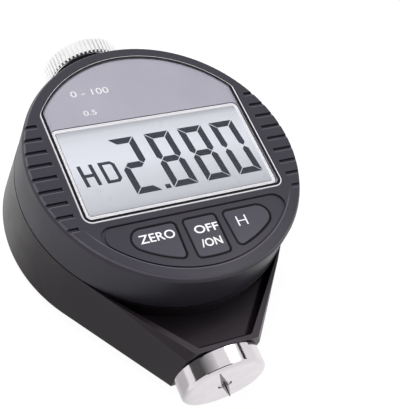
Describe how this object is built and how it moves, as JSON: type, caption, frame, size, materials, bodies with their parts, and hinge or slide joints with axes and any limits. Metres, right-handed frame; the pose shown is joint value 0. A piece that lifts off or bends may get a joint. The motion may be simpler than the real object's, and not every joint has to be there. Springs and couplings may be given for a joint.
{
  "type": "digital durometer",
  "caption": "Pocket hardness tester: round digital head with keypad, tapered neck, round presser foot with sprung needle indenter, ribbed top knob.",
  "frame": {"origin": "where the measuring axis meets the presser foot's face", "axes": "+Y up the measuring axis from the foot to the knob, +Z out of the display, +X to the display's right"},
  "size_m": [0.0594, 0.087, 0.028],
  "materials": {
    "housing": "satin near-black moulding",
    "key": "satin dark grey moulding",
    "window": "clear polished acrylic",
    "mask": "printed sheet",
    "frame": "satin white moulding",
    "display": "liquid crystal cell",
    "reflector": "satin film",
    "board": "green solder mask",
    "chip": "moulded epoxy",
    "component": "ceramic",
    "crystal_can": "drawn can",
    "rubber": "soft moulding",
    "chrome": "polished chrome plate",
    "hard_steel": "hardened and ground",
    "steel": "ground steel",
    "brass": "turned brass",
    "alloy": "milled alloy",
    "scale": "etched scale",
    "contact": "nickel plated spring brass",
    "screw": "blackened steel"
  },
  "bodies": {
    "housing": {"rear_body": "housing", "front_cover": "housing", "rear_cover": "housing", "window_lens": "window", "display_mask": "mask", "display_frame": "frame", "display_glass": "display", "display_reflector": "reflector", "main_board": "board", "sensor_board": "board", "controller_chip": "chip", "board_header": "chip", "capacitors": "component", "crystal": "crystal_can", "zebra_strips": "rubber", "key_mat": "rubber", "zero_dome": "rubber", "power_dome": "rubber", "hold_dome": "rubber", "presser_foot": "chrome", "measuring_spring": "steel", "knob_stud": "steel", "battery": "steel", "lower_bush": "brass", "upper_bush": "brass", "spring_adjuster": "brass", "guide_rail": "alloy", "battery_negative_contact": "contact", "battery_positive_contact": "contact", "front_cover_screws": "screw", "rear_cover_screws": "screw", "main_board_screws": "screw", "sensor_board_screws": "screw", "foot_lock_screw": "screw"},
    "spindle_group": {"indenter": "hard_steel", "spindle": "steel", "spring_collar": "steel", "scale_carrier": "alloy", "carrier_screws": "screw", "scale_strip": "scale", "guide_pin": "steel"},
    "zero_key": {"zero_key": "key"},
    "power_key": {"power_key": "key"},
    "hold_key": {"hold_key": "key"},
    "knob_washer": {"knob_washer": "rubber"},
    "top_knob": {"top_knob": "chrome"},
    "battery_cap": {"battery_cap": "housing", "battery_cap_seal": "rubber"}
  },
  "joints": [
    {"name": "indenter_press", "type": "slide", "parent": "housing", "child": "spindle_group", "axis": [0, 1, 0], "range_m": [0, 0.0025], "stiffness_N_per_m": 17780, "deforming": ["measuring_spring"]},
    {"name": "zero_key_press", "type": "slide", "parent": "housing", "child": "zero_key", "axis": [0, 0, -1], "range_m": [0, 0.0006], "stiffness_N_per_m": 2500, "deforming": ["zero_dome"]},
    {"name": "power_key_press", "type": "slide", "parent": "housing", "child": "power_key", "axis": [0, 0, -1], "range_m": [0, 0.0006], "stiffness_N_per_m": 2500, "deforming": ["power_dome"]},
    {"name": "hold_key_press", "type": "slide", "parent": "housing", "child": "hold_key", "axis": [0, 0, -1], "range_m": [0, 0.0006], "stiffness_N_per_m": 2500, "deforming": ["hold_dome"]},
    {"name": "knob_lift", "type": "slide", "parent": "housing", "child": "knob_washer", "axis": [0, 1, 0], "range_m": [0, 0.003]},
    {"name": "knob_unscrew", "type": "hinge", "parent": "knob_washer", "child": "top_knob", "pos_m": [0, 0.0822, 0], "axis": [0, 1, 0], "range_deg": [0, 1440]},
    {"name": "battery_cap_turn", "type": "hinge", "parent": "housing", "child": "battery_cap", "pos_m": [0, 0.0434, -0.0093], "axis": [0, 0, -1], "range_deg": [0, 60]}
  ],
  "couplings": [
    {"joint": "knob_unscrew", "follows": "knob_lift", "rad_per_m": 8377.5}
  ]
}
